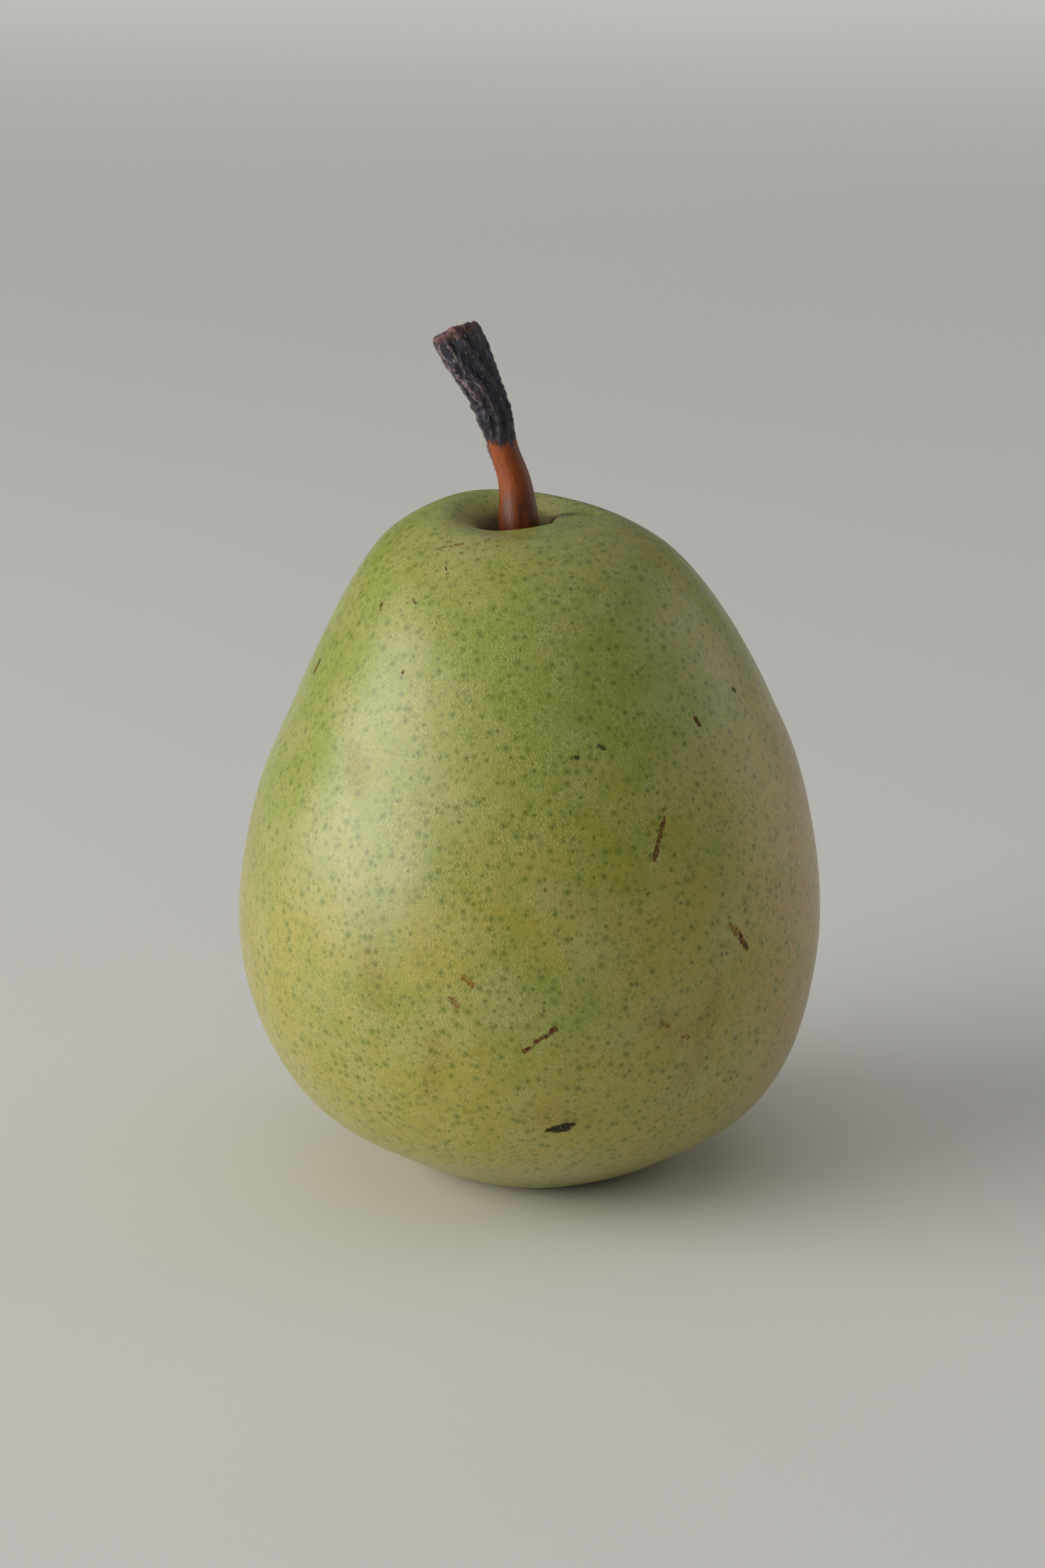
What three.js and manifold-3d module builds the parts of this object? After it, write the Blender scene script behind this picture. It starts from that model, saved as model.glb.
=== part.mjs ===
// A fresh green pear: the fruit, its woody stem and the dried calyx in its base.
// Millimetres, +Z up. The pear stands on a small flat spot, with the middle of its base at the origin.
// Angles are counted from +X towards +Y, and the pear's front looks along -Y.
import * as THREE from "three";
import { mergeVertices } from "three/addons/utils/BufferGeometryUtils.js";
import Module from "manifold-3d";

const { clamp, degToRad, lerp, smoothstep } = THREE.MathUtils;

// Fruit: half of its outline as [radius, height], from the socket in its base to the foot of the cavity
const FRUIT_OUTLINE = [
  [2.6, 5.4], [4.6, 5.0], [6.4, 3.9], [7.9, 2.1], [9.1, 0.6], [10.4, 0], [13.8, 0.35], [19.6, 2.9],
  [28.0, 8.2], [33.1, 14.3], [36.5, 22.5], [38.0, 32.0], [37.4, 41.5], [35.1, 52.0], [31.3, 61.4],
  [27.1, 70.1], [23.1, 77.0], [18.9, 82.2], [14.4, 85.2], [11.0, 86.4], [8.2, 86.0], [6.2, 85.0],
  [4.6, 83.5], [3.5, 81.7],
];
const FRUIT_SIDES = 64;
const FRUIT_RINGS = 54;
const CREST_HEIGHT = 86.4;
const CREST_RADIUS = 11;

// Fruit: how far its axis stands off +Z along X, at the foot, the waist, the shoulder and the crest
const FOOT_SHIFT = 0.8;
const BELLY_SHIFT = -1.0;
const SHOULDER_SHIFT = 0.45;
const CREST_SHIFT = -0.5;
const SHOULDER_HEIGHT = 60;
const SHOULDER_REACH = 12;

// Fruit: faint lobes of the body, the base and the crest
const BODY_LOBE = 0.003;
const BASE_LOBES = 5;
const BASE_LOBE_LIFT = 0.45;
const BASE_FLAT_SINK = 0.14;
const BASE_LOBE_ANGLE = degToRad(-90);
const FLANK_LOBE = 0.12;
const CREST_TILT = 1.0;
const CREST_TILT_ANGLE = degToRad(130);
const CREST_SADDLE = 0.4;
const CREST_SADDLE_ANGLE = degToRad(135);
const CAVITY_FILL = 2.6;
const CAVITY_FILL_ANGLE = degToRad(-45);
const CAVITY_FILL_RADIUS = 3.5;
const CAVITY_FILL_WIDTH = 3;

// Fruit: the crease that runs from the stem over the back of the crest, with the fold in front of it
const CREASE_ANGLE = degToRad(24);
const CREASE_DEPTH = 1.3;
const CREASE_WIDTH = 1.3;
const CREASE_LENGTH = 9;
const FOLD_HEIGHT = 0.6;
const FOLD_OFFSET = 2.2;

// Fruit: where each form comes in or fades out, from one height to another
const BELLY_RISE = [4, 30];
const BODY_RISE = [4, 16];
const BASE_FADE = [5, 12];
const FLANK_FADE = [8, 50];
const CREST_RISE = [69, 92];
const CROWN_RISE = [70, 84];

// Fruit: where each form comes in or fades out, from one distance off the axis to another
const BASE_REACH = [4, 9];
const BASE_END = [11, 20];
const AXIS_REACH = [5, 10];
const FLANK_REACH = [14, 24];
const CREASE_REACH = [2.5, 4.5];
const CREASE_END = [CREASE_LENGTH - 3, CREASE_LENGTH + 3];

// Sockets that hold the stem and the calyx
const STEM_X = -1.6;
const STEM_HOLE_RADIUS = 3.1;
const STEM_HOLE_MOUTH = 80;
const STEM_HOLE_FLOOR = 73.6;
const CALYX_SOCKET_RADIUS = 2.6;
const CALYX_SOCKET_ROOF = 7.2;

// Stem: [x, y, z] along its middle, foot to tip, with its radius at each of these places
const STEM_PATH = [
  [-1.6, 0, 75], [-1.6, 0, 84.5], [-2.05, 0.1, 90.2], [-3.5, 0.2, 94.9],
  [-4.85, 0.4, 99.8], [-6.95, 0.55, 104.3], [-9.6, 0.8, 109.9],
];
const STEM_RADII = [2.68, 2.6, 2.08, 1.8, 2.08, 2.47, 3.2];
const STEM_SIDES = 40;
const STEM_STEPS = 34;
// Stem: its end face as [share of the radius, share of the length], with a rounded rim and a shallow hollow
const STEM_SIDE_END = 0.965;
const STEM_TIP = [[0.96, 0.987], [0.86, 1], [0.62, 0.983], [0.3, 0.965], [0, 0.965]];
const STEM_TIP_START = 0.9;
const STEM_TIP_SLANT = 0.9;
const STEM_TIP_SLANT_ANGLE = degToRad(-100);

// Stem: flutes of its bark, which wander round it, and low ridges of its smooth wood
const STEM_FLUTES = 10;
const FLUTE_DEPTH = 0.16;
const FLUTE_TWIST = 0.5;
const FLUTE_TWIST_RATE = 7;
const SWELLING = 0.6;
const SWELLINGS = 3;
const SWELLING_RATE = 9;
const WOOD_RIDGE = 0.04;
const WOOD_RIDGES = 4;
const BARK_START = 0.5;
const BARK_FULL = 0.64;
const SCAR = { along: 0.64, angle: degToRad(235), height: 0.4, length: 0.035, width: 0.5 };

// Calyx: a dried cup with five sepals, and the remains of styles and stamens
const CALYX_CUP = [
  [0, 6.9], [2.25, 6.9], [2.3, 5.2], [2.55, 4.0], [1.95, 3.9], [1.6, 4.9], [0, 5.1],
];
const CALYX_SIDES = 30;
const SEPALS = 5;
const SEPAL_FIRST_ANGLE = degToRad(20);
const SEPAL_LENGTH = 4.4;
const SEPAL_WIDTH = 2.7;
const SEPAL_THICKNESS = 0.7;
const SEPAL_START = 2.0;
const SEPAL_HEIGHT = 4.45;
const SEPAL_DROOP = 0.42;
const SEPAL_CURL = 0.1;
const SEPAL_HOLLOW = 0.12;
const SEPAL_ROOT = 0.6;
const SEPAL_BULGE = 0.6;
const SEPAL_TIP = 0.3;
const STAMENS = 10;
const STAMEN_RADIUS = 0.32;
const STAMEN_LENGTH = 1.9;
const STAMEN_UNEVENNESS = 0.35;
const STAMEN_DISTANCE = 1.1;
const STYLE_RADIUS = 0.5;
const STYLE_LENGTH = 1.5;
const PEG_ROOT = 0.3;
const PEG_TAPER = 0.7;
const PEG_SIDES = 7;

const wasm = await Module();
wasm.setup();

// The bell curve that soft ridges and hollows follow.
function bell(distance, width) {
  return Math.exp(-((distance / width) ** 2));
}

// A soft step from 0 to 1 over a span.
function rise(value, [start, end]) {
  return smoothstep(value, start, end);
}

// One smooth curve through evenly counted values, read at a place between 0 and 1.
function along(values, place) {
  const curve = new THREE.SplineCurve(values.map((value, index) => new THREE.Vector2(index, value)));
  return curve.getPoint(place).y;
}

// Moves each vertex of a geometry by a rule and joins the vertices that then share a place.
function reshape(geometry, rule) {
  const place = geometry.getAttribute("position");
  const point = new THREE.Vector3();
  for (let index = 0; index < place.count; index += 1) {
    point.fromBufferAttribute(place, index);
    rule(point);
    place.setXYZ(index, point.x, point.y, point.z);
  }
  geometry.deleteAttribute("normal");
  geometry.deleteAttribute("uv");
  return mergeVertices(geometry, 1e-4);
}

// A solid turned round +Z from [radius, height] pairs.
function turn(outline, sides) {
  const points = outline.map(([radius, height]) => new THREE.Vector2(radius, height));
  return new THREE.LatheGeometry(points, sides).rotateX(Math.PI / 2);
}

// How far the fruit's middle stands off the Z axis at a height.
function axisShift(height) {
  const belly = BELLY_SHIFT * rise(height, BELLY_RISE);
  const shoulder = SHOULDER_SHIFT * bell(height - SHOULDER_HEIGHT, SHOULDER_REACH);
  return FOOT_SHIFT + belly + shoulder + CREST_SHIFT * rise(height, CREST_RISE);
}

// The rise and fall of the crest and the cavity: their tilt, their saddle, and the cavity's filled front.
function crestLift(radius, angle) {
  const tilt = CREST_TILT * Math.cos(angle - CREST_TILT_ANGLE);
  const saddle = CREST_SADDLE * Math.cos(2 * (angle - CREST_SADDLE_ANGLE));
  const front = (1 + Math.cos(angle - CAVITY_FILL_ANGLE)) / 2;
  const fill = CAVITY_FILL * front * bell(radius - CAVITY_FILL_RADIUS, CAVITY_FILL_WIDTH);
  return (tilt + saddle) * rise(radius, [STEM_HOLE_RADIUS, CREST_RADIUS]) + fill;
}

// The crease beside the stem and the fold of skin in front of it.
function creaseLift(radius, angle) {
  const forward = radius * Math.cos(angle - CREASE_ANGLE);
  const across = radius * Math.sin(angle - CREASE_ANGLE);
  const reach = rise(forward, CREASE_REACH) * (1 - rise(forward, CREASE_END));
  const valley = -CREASE_DEPTH * bell(across, CREASE_WIDTH);
  return reach * (valley + FOLD_HEIGHT * bell(across + FOLD_OFFSET, CREASE_WIDTH));
}

// The five lobes round the calyx basin, which leave small flat spots between them.
function baseLift(radius, angle) {
  const lobe = (1 - Math.cos(BASE_LOBES * (angle - BASE_LOBE_ANGLE))) / 2;
  const reach = rise(radius, BASE_REACH) * (1 - rise(radius, BASE_END));
  return reach * (BASE_LOBE_LIFT * lobe - BASE_FLAT_SINK);
}

// Carries a point of the turned fruit to where it has grown.
function growFruit(point) {
  const radius = Math.hypot(point.x, point.y);
  const angle = Math.atan2(point.y, point.x);
  const height = point.z;
  const top = rise(height, CROWN_RISE);
  const bottom = 1 - rise(height, BASE_FADE);
  const flank = rise(radius, FLANK_REACH) * (1 - rise(height, FLANK_FADE));
  const middle = rise(height, BODY_RISE) * (1 - top);
  const body = 1 + BODY_LOBE * middle * (Math.sin(2 * angle) + Math.sin(3 * angle));
  const ribbed = radius * body + FLANK_LOBE * flank * Math.cos(BASE_LOBES * (angle - BASE_LOBE_ANGLE));
  const socket = height > CREST_HEIGHT / 2 ? STEM_X : FOOT_SHIFT;
  const shift = lerp(socket, axisShift(height), rise(radius, AXIS_REACH));
  const crown = crestLift(radius, angle) + creaseLift(radius, angle);
  const lift = top * crown + bottom * baseLift(radius, angle);
  point.set(shift + ribbed * Math.cos(angle), ribbed * Math.sin(angle), Math.max(0, height + lift));
}

// The fruit, with the sockets of the stem and the calyx in it.
function makeFruit() {
  const outline = FRUIT_OUTLINE.map(([radius, height]) => new THREE.Vector2(radius, height));
  const skin = new THREE.SplineCurve(outline).getPoints(FRUIT_RINGS).map((point) => [point.x, point.y]);
  const calyxSocket = [[0, CALYX_SOCKET_ROOF], [CALYX_SOCKET_RADIUS, CALYX_SOCKET_ROOF]];
  const stemHole = [
    [STEM_HOLE_RADIUS, STEM_HOLE_MOUTH], [STEM_HOLE_RADIUS, STEM_HOLE_FLOOR], [0, STEM_HOLE_FLOOR],
  ];
  return reshape(turn([...calyxSocket, ...skin, ...stemHole], FRUIT_SIDES), growFruit);
}

// Radius of the stem at a place along it: smooth wood below, fluted bark with a scar above.
function stemRadius(place, angle) {
  const bark = smoothstep(place, BARK_START, BARK_FULL);
  const twist = angle + FLUTE_TWIST * Math.sin(FLUTE_TWIST_RATE * place);
  const swelling = SWELLING * Math.cos(SWELLINGS * twist + SWELLING_RATE * place);
  const flutes = Math.cos(STEM_FLUTES * twist) + swelling;
  const wood = WOOD_RIDGE * Math.cos(WOOD_RIDGES * angle);
  const turned = Math.atan2(Math.sin(angle - SCAR.angle), Math.cos(angle - SCAR.angle));
  const scar = SCAR.height * bell(place - SCAR.along, SCAR.length) * bell(turned, SCAR.width);
  return along(STEM_RADII, place) + bark * FLUTE_DEPTH * flutes + (1 - bark) * wood + scar;
}

// The stem: a turned rod of radius 1 and height 1, bent along its path.
function makeStem() {
  const middle = STEM_PATH.map((place) => new THREE.Vector3(...place));
  const path = new THREE.CatmullRomCurve3(middle, false, "catmullrom", 0.5);
  const side = Array.from({ length: STEM_STEPS + 1 }, (_, step) => [1, STEM_SIDE_END * (step / STEM_STEPS)]);
  const tipRadius = STEM_RADII[STEM_RADII.length - 1];
  const sideways = new THREE.Vector3();
  const forwards = new THREE.Vector3();
  return reshape(turn([[0, 0], ...side, ...STEM_TIP], STEM_SIDES), (point) => {
    const place = clamp(point.z, 0, 1);
    const angle = Math.atan2(point.y, point.x);
    const radius = Math.hypot(point.x, point.y) * stemRadius(place, angle);
    const heading = path.getTangent(place);
    sideways.set(1, 0, 0).addScaledVector(heading, -heading.x).normalize();
    forwards.crossVectors(heading, sideways);
    point.copy(path.getPoint(place));
    point.addScaledVector(sideways, radius * Math.cos(angle));
    point.addScaledVector(forwards, radius * Math.sin(angle));
    const slant = STEM_TIP_SLANT * (radius / tipRadius) * Math.cos(angle - STEM_TIP_SLANT_ANGLE);
    point.addScaledVector(heading, slant * rise(place, [STEM_TIP_START, 1]));
  });
}

// A closed geometry as a solid that can be joined.
function solid(geometry) {
  const place = geometry.getAttribute("position");
  return new wasm.Manifold(new wasm.Mesh({
    numProp: 3,
    vertProperties: new Float32Array(place.array),
    triVerts: new Uint32Array(geometry.getIndex().array),
  }));
}

// A solid as a geometry again.
function geometryOf(body) {
  const mesh = body.getMesh();
  const geometry = new THREE.BufferGeometry();
  geometry.setAttribute("position", new THREE.BufferAttribute(mesh.vertProperties, 3));
  geometry.setIndex(new THREE.BufferAttribute(mesh.triVerts, 1));
  return geometry;
}

// One dried sepal: a pointed blade that droops along the basin and curls at its tip.
function makeSepal(turned) {
  const root = SEPAL_START - SEPAL_ROOT;
  const bulge = SEPAL_START + SEPAL_LENGTH * SEPAL_BULGE;
  const end = SEPAL_START + SEPAL_LENGTH;
  const half = SEPAL_WIDTH / 2;
  const blade = new THREE.Shape();
  blade.moveTo(root, -half);
  blade.quadraticCurveTo(bulge, -half, end, -SEPAL_TIP);
  blade.lineTo(end, SEPAL_TIP);
  blade.quadraticCurveTo(bulge, half, root, half);
  blade.closePath();
  const extrude = { depth: SEPAL_THICKNESS, bevelEnabled: false, curveSegments: 6, steps: 1 };
  const droop = (point) => {
    const out = point.x - SEPAL_START;
    point.z += SEPAL_HEIGHT - SEPAL_DROOP * out - SEPAL_CURL * out ** 2 + SEPAL_HOLLOW * point.y ** 2;
  };
  return solid(reshape(new THREE.ExtrudeGeometry(blade, extrude), droop).rotateZ(turned));
}

// A small dried peg that stands down from the calyx cup.
function makePeg(radius, length, distance, angle) {
  const peg = new THREE.CylinderGeometry(radius, radius * PEG_TAPER, length, PEG_SIDES);
  const root = CALYX_CUP[CALYX_CUP.length - 1][1] + PEG_ROOT;
  peg.rotateX(Math.PI / 2).translate(distance, 0, root - length / 2).rotateZ(angle);
  return solid(reshape(peg, () => {}));
}

// The calyx: its cup, the sepals, a ring of stamens and the stub of the styles, grown together.
function makeCalyx() {
  let body = solid(reshape(turn([...CALYX_CUP].reverse(), CALYX_SIDES), () => {}));
  for (let index = 0; index < SEPALS; index += 1) {
    body = body.add(makeSepal(SEPAL_FIRST_ANGLE + (index / SEPALS) * 2 * Math.PI));
  }
  for (let index = 0; index < STAMENS; index += 1) {
    const length = STAMEN_LENGTH + STAMEN_UNEVENNESS * Math.sin(SEPALS * index);
    body = body.add(makePeg(STAMEN_RADIUS, length, STAMEN_DISTANCE, (index / STAMENS) * 2 * Math.PI));
  }
  body = body.add(makePeg(STYLE_RADIUS, STYLE_LENGTH, 0, 0));
  return geometryOf(body).translate(FOOT_SHIFT, 0, 0);
}

// A named piece with its own plain material.
function piece(name, geometry, color, roughness) {
  geometry.computeVertexNormals();
  const mesh = new THREE.Mesh(geometry, new THREE.MeshStandardMaterial({ color, roughness, metalness: 0 }));
  mesh.name = name;
  return mesh;
}

const pear = new THREE.Group();
pear.add(piece("fruit", makeFruit(), "#a9b163", 0.5));
pear.add(piece("stem", makeStem(), "#5a3320", 0.7));
pear.add(piece("calyx", makeCalyx(), "#3b2a1c", 0.9));

export default pear;
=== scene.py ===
"""A fresh green pear on a pale floor: the fruit, its woody stem and the dried calyx in its base.

Lengths that the shapes are worked out in are millimetres, and every finished mesh is in metres.
Angles are counted from +X towards +Y, and the pear's front looks along -Y.
"""
import math
import random

import bpy
import numpy as np
from bpy.props import FloatProperty, FloatVectorProperty, IntProperty, PointerProperty
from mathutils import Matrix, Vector, noise


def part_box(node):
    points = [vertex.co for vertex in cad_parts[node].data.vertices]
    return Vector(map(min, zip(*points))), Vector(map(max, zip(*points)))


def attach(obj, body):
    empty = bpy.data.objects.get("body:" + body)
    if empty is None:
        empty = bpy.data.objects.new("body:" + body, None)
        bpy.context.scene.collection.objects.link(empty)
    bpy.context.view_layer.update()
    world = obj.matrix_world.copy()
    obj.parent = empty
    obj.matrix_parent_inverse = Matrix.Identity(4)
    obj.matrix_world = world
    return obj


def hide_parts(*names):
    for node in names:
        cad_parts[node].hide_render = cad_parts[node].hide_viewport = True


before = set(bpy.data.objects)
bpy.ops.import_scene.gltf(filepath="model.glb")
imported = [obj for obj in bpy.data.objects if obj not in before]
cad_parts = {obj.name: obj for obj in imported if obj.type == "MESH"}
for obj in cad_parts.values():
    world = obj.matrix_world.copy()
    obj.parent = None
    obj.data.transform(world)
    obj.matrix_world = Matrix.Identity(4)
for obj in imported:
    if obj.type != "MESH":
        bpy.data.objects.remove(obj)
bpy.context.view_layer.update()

bl_info = {
    "name": "Fresh Pear",
    "version": (1, 0, 0),
    "blender": (4, 5, 0),
    "location": "3D View > Sidebar > Pear",
    "description": "Builds a fresh green pear with its stem and calyx, and a plain stage for it",
    "category": "Add Mesh",
}

MM = 0.001
SEED = 31

# Fruit: half of its outline as (radius, height), from the socket in its base to the cavity's foot,
# and the forms that grow it off round; the dips are (weight, size, seed) of their noise
FRUIT_OUTLINE = (
    (2.6, 5.4), (4.6, 5.0), (6.4, 3.9), (7.9, 2.1), (9.1, 0.6), (10.4, 0.0), (13.8, 0.35),
    (19.6, 2.9), (28.0, 8.2), (33.1, 14.3), (36.5, 22.5), (38.0, 32.0), (37.4, 41.5), (35.1, 52.0),
    (31.3, 61.4), (27.1, 70.1), (23.1, 77.0), (18.9, 82.2), (14.4, 85.2), (11.0, 86.4),
    (8.2, 86.0), (6.2, 85.0), (4.6, 83.5), (3.5, 81.7),
)
CREST_HEIGHT = 86.4
CREST_RADIUS = 11
FOOT_SHIFT = 0.8
BELLY_SHIFT = -1.0
SHOULDER_SHIFT = 0.45
CREST_SHIFT = -0.5
SHOULDER_HEIGHT = 60
SHOULDER_REACH = 12
BODY_LOBE = 0.003
BASE_LOBES = 5
BASE_LOBE_LIFT = 0.45
BASE_FLAT_SINK = 0.14
BASE_LOBE_ANGLE = math.radians(-90)
FLANK_LOBE = 0.12
CREST_TILT = 1.0
CREST_TILT_ANGLE = math.radians(130)
CREST_SADDLE = 0.4
CREST_SADDLE_ANGLE = math.radians(135)
CAVITY_FILL = 2.6
CAVITY_FILL_ANGLE = math.radians(-45)
CAVITY_FILL_RADIUS = 3.5
CAVITY_FILL_WIDTH = 3
CREASE_ANGLE = math.radians(24)
CREASE_DEPTH = 1.3
CREASE_WIDTH = 1.3
CREASE_LENGTH = 9
FOLD_HEIGHT = 0.6
FOLD_OFFSET = 2.2
CREASE_EDGE = -0.7
FLANK_STATIONS = slice(7, 20)
DIPS = ((1.0, 11, 3.7), (0.5, 4.5, 8.1))
DIP_REACH = (4, 9)
DIP_RISE = (0.5, 4)

# Fruit: where each form comes in or fades out, from one height to another
BELLY_RISE = (4, 30)
BODY_RISE = (4, 16)
BASE_FADE = (5, 12)
FLANK_FADE = (8, 50)
CREST_RISE = (69, 92)
CROWN_RISE = (70, 84)

# Fruit: where each form comes in or fades out, from one distance off the axis to another
CREST_REACH = (3.1, CREST_RADIUS)
BASE_REACH = (4, 9)
BASE_END = (11, 20)
AXIS_REACH = (5, 10)
FLANK_REACH = (14, 24)
CREASE_REACH = (2.5, 4.5)
CREASE_END = (CREASE_LENGTH - 3, CREASE_LENGTH + 3)

# Sockets that hold the stem and the calyx; the stem's hole is an outline of (radius, height)
STEM_X = -1.6
STEM_HOLE_RADIUS = 2.82
STEM_HOLE_FLOOR = 74.4
STEM_HOLE = ((3.05, 80.4), (STEM_HOLE_RADIUS, 79.2), (STEM_HOLE_RADIUS, STEM_HOLE_FLOOR))
CALYX_SOCKET_RADIUS = 2.6
CALYX_SOCKET_ROOF = 7.2

# Stem: (x, y, z) along its middle, foot to tip, its radius at each of these places, and its foot
# and its tip as (share of the radius, place along the stem)
STEM_PATH = (
    (-1.6, 0.0, 75.0), (-1.6, 0.0, 84.5), (-2.05, 0.1, 90.2), (-3.5, 0.2, 94.9),
    (-4.85, 0.4, 99.8), (-6.95, 0.55, 104.3), (-9.6, 0.8, 109.9),
)
STEM_RADII = (2.68, 2.6, 2.08, 1.8, 2.08, 2.47, 3.2)
STEM_SIDE_END = 0.965
STEM_FOOT = (0.5, 0.0)
STEM_TIP = (
    (0.985, 0.976), (0.96, 0.987), (0.92, 0.995), (0.86, 1.0), (0.78, 0.996), (0.62, 0.983),
    (0.46, 0.972), (0.3, 0.966), (0.15, 0.965),
)
STEM_TIP_START = 0.9
STEM_TIP_SLANT = 0.9
STEM_TIP_SLANT_ANGLE = math.radians(-100)
STEM_FLUTES = 10
FLUTE_DEPTH = 0.16
FLUTE_TWIST = 0.5
FLUTE_TWIST_RATE = 7
SWELLING = 0.6
SWELLINGS = 3
SWELLING_RATE = 9
WOOD_RIDGE = 0.04
WOOD_RIDGES = 4
GRAIN_RADIUS = 2.2
GRAIN_LENGTH = 6
BARK_START = 0.5
BARK_FULL = 0.64
BARK_EDGE = (BARK_START + 0.085, BARK_START + 0.115)
SCAR_PLACE = 0.64
SCAR_ANGLE = math.radians(235)
SCAR_HEIGHT = 0.4
SCAR_LENGTH = 0.035
SCAR_WIDTH = 0.5
WRINKLE_SIZE = 0.42
KNOT_SIZE = 0.62
CRUST_ANGLE = math.radians(215)
CRUST_SCATTER = math.radians(60)
FIBRE_ANGLE = math.radians(186)
FIBRE_THICKNESS = 0.035
TIP_WEAR = 0.35
TIP_WEAR_SIZE = 0.8

# Calyx: its cup as (radius, height), and the shape of what grows from it
CALYX_CUP = ((0.0, 5.1), (1.6, 4.9), (1.95, 3.9), (2.55, 4.0), (2.3, 5.2), (2.25, 6.9), (0.0, 6.9))
SEPALS = 5
SEPAL_START = 2.0
SEPAL_HEIGHT = 4.55
SEPAL_DROOP = 0.42
SEPAL_CURL = 0.1
SEPAL_FIRST_ANGLE = math.radians(20)
SEPAL_TAPER = 2.2
SEPAL_ROOT = 0.5
STYLES = 5
STAMEN_START = 5.25
STAMEN_THICKNESS = 0.13
ANTHER_REACH = 0.22
STYLE_START = 5.3
STYLE_THICKNESS = 0.17
HAIR_THICKNESS = 0.028

# Lenticels: how far their halos and pores reach in mm, and how much closer the small ones stand
HALO_REACH = 0.78
PORE_REACH = 0.17
SMALL_HALO_REACH = 0.55
SMALL_PORE_REACH = 0.1
SMALL_SPACING = 0.66

# Skin: how its flesh lets light in, and how its wax shines
SKIN_SURFACE = (
    ("Subsurface Weight", 0.12), ("Subsurface Radius", (1.0, 0.8, 0.25)),
    ("Subsurface Scale", 0.003), ("Specular IOR Level", 0.22), ("Coat Roughness", 0.36),
)

# Marks: how fine noise wears each kind, from one value and share to another
MARK_WEAR = (
    ("stain", (0.3, 0.65, 0.06, 0.3)), ("russet", (0.38, 0.6, 0.3, 0.85)),
    ("scratch", (0.34, 0.55, 0.45, 0.95)), ("scab", (0.34, 0.5, 0.6, 0.98)),
    ("spot", (0.0, 1.0, 0.75, 0.75)),
)

# Marks on the skin: kind, half width in mm, and the (angle, height) places that it runs through
MARKS = (
    ("russet", 0.38, ((-138.9, 84.7), (-132.4, 85.3), (-126.5, 85.7))),
    ("scratch", 0.28, ((-128.8, 83.9), (-124.2, 83.1))),
    ("scratch", 0.24, ((-134.0, 78.9), (-133.1, 79.7), (-130.6, 79.3))),
    ("scratch", 0.26, ((-145.7, 78.0), (-144.3, 77.4))),
    ("scratch", 0.45, ((-166.8, 68.9), (-166.6, 67.6))),
    ("scratch", 0.28, ((-126.7, 71.4), (-126.4, 71.2))),
    ("spot", 0.36, ((-80.2, 63.0), (-79.8, 62.9))),
    ("spot", 0.48, ((-74.6, 63.9), (-73.6, 63.7))),
    ("spot", 0.42, ((-27.5, 67.1), (-27.0, 66.9))),
    ("scratch", 0.42, ((-46.4, 65.4), (-45.8, 64.6))),
    ("spot", 0.34, ((-58.5, 61.6), (-58.3, 61.4))),
    ("scratch", 0.26, ((-61.5, 56.1), (-61.9, 54.8))),
    ("scratch", 0.42, ((-62.2, 54.5), (-63.6, 52.4), (-65.1, 50.6))),
    ("russet", 0.55, ((-48.2, 40.6), (-45.6, 38.9))),
    ("scratch", 0.5, ((-45.6, 38.9), (-44.3, 37.2))),
    ("russet", 0.6, ((-102.2, 37.2), (-100.8, 36.3))),
    ("russet", 0.55, ((-104.6, 34.0), (-103.4, 33.4))),
    ("scratch", 0.42, ((-91.0, 27.7), (-88.6, 29.0), (-85.2, 30.5))),
    ("spot", 0.3, ((-89.0, 30.7), (-88.8, 30.7))),
    ("scab", 1.0, ((-85.3, 16.1), (-84.2, 16.2), (-83.5, 16.3))),
    ("scab", 0.5, ((-87.0, 15.9), (-84.2, 16.2), (-82.1, 16.7))),
    ("stain", 1.5, ((-107.5, 28.6), (-109.0, 24.7), (-110.5, 20.8))),
    ("stain", 2.6, ((-87.3, 18.6), (-82.0, 18.0))),
    ("stain", 1.8, ((-66.0, 31.0), (-58.9, 27.4), (-52.0, 30.0))),
    ("stain", 1.6, ((-58.0, 21.0), (-54.0, 27.0), (-52.0, 34.0))),
    ("stain", 2.2, ((-134.9, 61.2), (-131.0, 58.0))),
    ("stain", 2.4, ((-121.0, 38.5), (-119.5, 33.0))),
    ("stain", 2.0, ((40.0, 44.0), (44.0, 49.0))),
    ("russet", 0.5, ((-64.4, 30.2), (-63.2, 29.4))),
    ("russet", 0.45, ((-59.4, 27.6), (-58.4, 27.2))),
    ("russet", 0.4, ((62.0, 58.0), (60.0, 55.5), (60.5, 53.0))),
    ("scratch", 0.25, ((118.0, 44.0), (121.0, 41.5))),
    ("spot", 0.45, ((150.0, 33.0), (150.6, 32.8))),
    ("russet", 0.5, ((15.0, 26.0), (18.0, 24.0))),
    ("scratch", 0.3, ((88.0, 74.0), (91.0, 73.0), (92.5, 71.0))),
)

# Stage: half the floor's side, and the size, place and colour of the lights that face the pear
FLOOR_REACH = 4.0
KEY_LIGHT = ((1.2, 0.74), (-1.03, -0.31, 0.37), (1.0, 0.99, 0.96))
FILL_LIGHT = ((0.7, 0.8), (0.92, 0.36, 0.3), (1.0, 0.96, 0.9))
SIDE_SPREAD = math.radians(110)
TOP_LIGHT_SIZE = (2.4, 2.4)
TOP_LIGHT_PLACE = (0, 0, 1.8)
WHITE = (1.0, 1.0, 1.0)
AMBIENT_COLOUR = (1.0, 0.99, 0.97, 1)

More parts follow.
